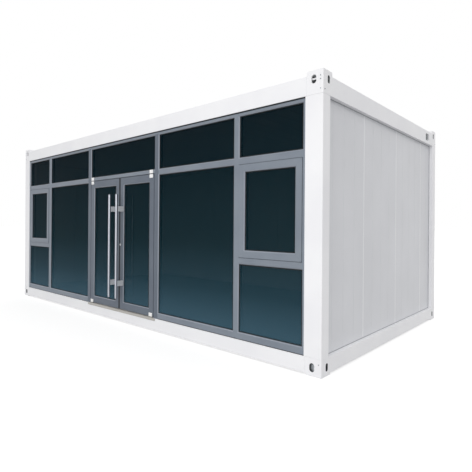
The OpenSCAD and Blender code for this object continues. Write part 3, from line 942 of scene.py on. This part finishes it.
for side, body in ((-1, "left_door"), (1, "right_door")):
    at = (side * pull_x, pull_y, (pull_foot + pull_top) / 2)
    tube = start_rod("tube", at, pull_radius, pull_top - pull_foot)
    cut_across(z_axis, (pull_foot + cap_length, pull_foot + cap_end))
    cut_across(z_axis, (pull_top - cap_end, pull_top - cap_length))
    pick("FACE", lambda middle, face: abs(face.normal.z) < 0.1
         and cap_length < min(middle.z - pull_foot, pull_top - middle.z) < cap_end)
    bpy.ops.mesh.extrude_region_shrink_fatten(TRANSFORM_OT_shrink_fatten={"value": -cap_line_depth})
    pick("EDGE", lambda middle, edge: min(abs(middle.z - pull_foot), abs(middle.z - pull_top)) < 0.1 * mm)
    round_picked(radius=2 * mm, steps=3)
    give_finishes(tube, [stainless])
    parts = [tube]
    for z in (pull_foot + block_from_end, pull_top - block_from_end):
        block = start_block("block", (side * pull_x - block_half, block_end, z - block_tall_half),
                            (side * pull_x + block_half, leaf_face, z + block_tall_half))
        pick("EDGE", lambda middle, edge: abs(edge.verts[0].co.y - edge.verts[1].co.y) > 10 * mm)
        round_picked(radius=3 * mm, steps=3)
        give_finishes(block, [blasted])
        parts.append(block)
    pulls = join_pieces(body + "_pull_bars", parts)
    mirror_too(y_axis, leaf_middle)
    ease_edges(pulls, radius=1.2 * mm)
    settle(pulls, body, [stainless, blasted], [body + "_pulls"])


# Lock
# A round lock cylinder in the meeting stile of the right leaf, with a turned stainless
# rose on each face and a sunk plug with a key slot.

# Turned and polished stainless steel: bright, with fine turning marks, drawn coarser than
# the real ones, at about 1 mm.
polished = clouded_finish(
    "polished_stainless_steel", 1 * mm, detail=1.0, stops=[(0.3, "D6D7DA"), (0.7, "E0E1E4")],
    gloss=(0.2, 0.3), values={"Metallic": 1.0})

lock_low, lock_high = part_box("door_lock")
lock_x, lock_z = (lock_low.x + lock_high.x) / 2, (lock_low.z + lock_high.z) / 2
lock_radius, lock_face, lock_root = (lock_high.x - lock_low.x) / 2, lock_low.y, leaf_face + 2 * mm
rose_ring, plug_sink, plug_ring, plug_rise = 4 * mm, 1.2 * mm, 1 * mm, 1 * mm
lock = start_rod("door_lock_turned", (lock_x, (lock_face + lock_root) / 2, lock_z), lock_radius,
                 lock_root - lock_face, turn=(math.pi / 2, 0, 0))
pick("FACE", lambda middle, face: face.normal.y < -square_on)
bpy.ops.mesh.inset(thickness=rose_ring)
bpy.ops.mesh.inset(thickness=rose_ring)
extrude_picked((0, plug_sink, 0))
bpy.ops.mesh.inset(thickness=plug_ring)
extrude_picked((0, -plug_rise, 0))
mirror_too(y_axis, leaf_middle)
ease_edges(lock, radius=0.3 * mm)
settle(lock, "right_door", [polished], ["door_lock"])

slot_half, slot_tall_half, slot_set_back, slot_depth = 1.2 * mm, 4.5 * mm, 0.1 * mm, 3 * mm
key_slot = start_block("door_lock_key_slot",
                       (lock_x - slot_half, lock_face + slot_set_back, lock_z - slot_tall_half),
                       (lock_x + slot_half, lock_face + slot_depth, lock_z + slot_tall_half))
mirror_too(y_axis, leaf_middle)
ease_edges(key_slot, radius=0.4 * mm)
settle(key_slot, "right_door", [rubber])


# Pivot covers
# White moulded caps that snap over the pivots: on the transom above each heel, and at the
# top and bottom heel corner of each leaf, on both faces.

# Moulded white plastic: clean and soft in gloss, clouded over about 20 mm, with a fine mould
# grain drawn coarse, at about 1.5 mm.
plastic = clouded_finish(
    "white_moulded_plastic", 20 * mm, detail=2.0, stops=[(0.3, "F2F2F1"), (0.7, "F8F8F8")],
    gloss=(0.38, 0.48), values={"IOR": 1.46},
    grain={"size": 1.5 * mm, "detail": 2.0, "strength": 0.1, "depth": 0.2 * mm})

for node, body in (("transom_pivot_covers", "house"), ("left_pivot_covers", "left_door"),
                   ("right_pivot_covers", "right_door")):
    settle(eased_copy(node, radius=4 * mm), body, [plastic], [node])


# Studio
# A plain pale floor that takes the shadow, a soft sky, a weak high lamp and a broad disc
# lamp near the front right, from which the light falls off to the left. The floor and the
# sky show white.

def seen_directly(tree):
    """One where the camera, a reflection or a pane looks, and zero where only light is gathered."""
    rays = add_node(tree, "ShaderNodeLightPath").outputs
    either = add_node(tree, "ShaderNodeMath", links={0: rays["Is Camera Ray"], 1: rays["Is Glossy Ray"]},
                      operation="ADD")
    return add_node(tree, "ShaderNodeMath", links={0: either, 1: rays["Is Transmission Ray"]},
                    operation="ADD", use_clamp=True)


floor_size, floor_drop, floor_lift = 400, 0.5 * mm, 0.66
clear_bench()
bpy.ops.mesh.primitive_plane_add(size=floor_size, location=(0, 0, -floor_drop))
studio_floor = bpy.context.object
studio_floor.name = "studio_floor"
bpy.ops.object.transform_apply(location=True, rotation=True, scale=True)
floor_paper, tree = new_finish("white_studio_paper")[:2]
lift = add_node(tree, "ShaderNodeMath", {1: floor_lift}, {0: seen_directly(tree)}, operation="MULTIPLY")
paper = add_node(tree, "ShaderNodeBsdfDiffuse", {"Color": linear("B4B4B4")})
lamp = add_node(tree, "ShaderNodeEmission", {"Color": (1, 1, 1, 1)}, {"Strength": lift})
both = add_node(tree, "ShaderNodeAddShader", links={0: paper, 1: lamp})
add_node(tree, "ShaderNodeOutputMaterial", links={"Surface": both})
studio_floor.data.materials.append(floor_paper)

sky = bpy.data.worlds.new("soft_studio_sky")
bpy.context.scene.world = sky
sky.use_nodes = True
tree = sky.node_tree
tree.nodes.clear()
sky_light, sky_shown = 0.84, 1.0
level = add_node(tree, "ShaderNodeMapRange", {"To Min": sky_light, "To Max": sky_shown},
                 {"Value": seen_directly(tree)})
dome = add_node(tree, "ShaderNodeBackground", {"Color": (1, 1, 1, 1)}, {"Strength": level})
add_node(tree, "ShaderNodeOutputWorld", links={"Surface": dome})

bpy.ops.object.light_add(type="SUN", location=(0, -8, 5))
key = bpy.context.object
key.name = "high_soft_lamp"
key.data.energy = 0.55
key.data.angle = math.radians(60)
key.rotation_euler = (math.radians(59), 0, math.radians(28))

bpy.ops.object.light_add(type="AREA", location=(3.3, -7.1, 1.9))
fill = bpy.context.object
fill.name = "broad_front_lamp"
fill.data.shape, fill.data.size, fill.data.energy = "DISK", 3.5, 76
fill.rotation_euler = (math.radians(90), 0, math.radians(12))
fill.visible_camera = False


# Camera
# Eye height, in front of the right corner, level, with the near post to the right of the
# middle, as in the photograph.

photo_side, focal_pixels, centre_across, centre_down, film_width = 472, 409.49, 250, 225.67, 36
view_data = bpy.data.cameras.new("camera")
camera = bpy.data.objects.new("camera", view_data)
bpy.context.scene.collection.objects.link(camera)
camera.location = (5.1934, -4.8115, 1.3744)
camera.rotation_mode = "XYZ"
camera.rotation_euler = (math.pi / 2, -0.0074, 0.7064)
view_data.sensor_width = film_width
view_data.lens = focal_pixels / photo_side * film_width
view_data.shift_x = (photo_side / 2 - centre_across) / photo_side
view_data.shift_y = (centre_down - photo_side / 2) / photo_side
view_data.clip_end = 500
bpy.context.scene.camera = camera
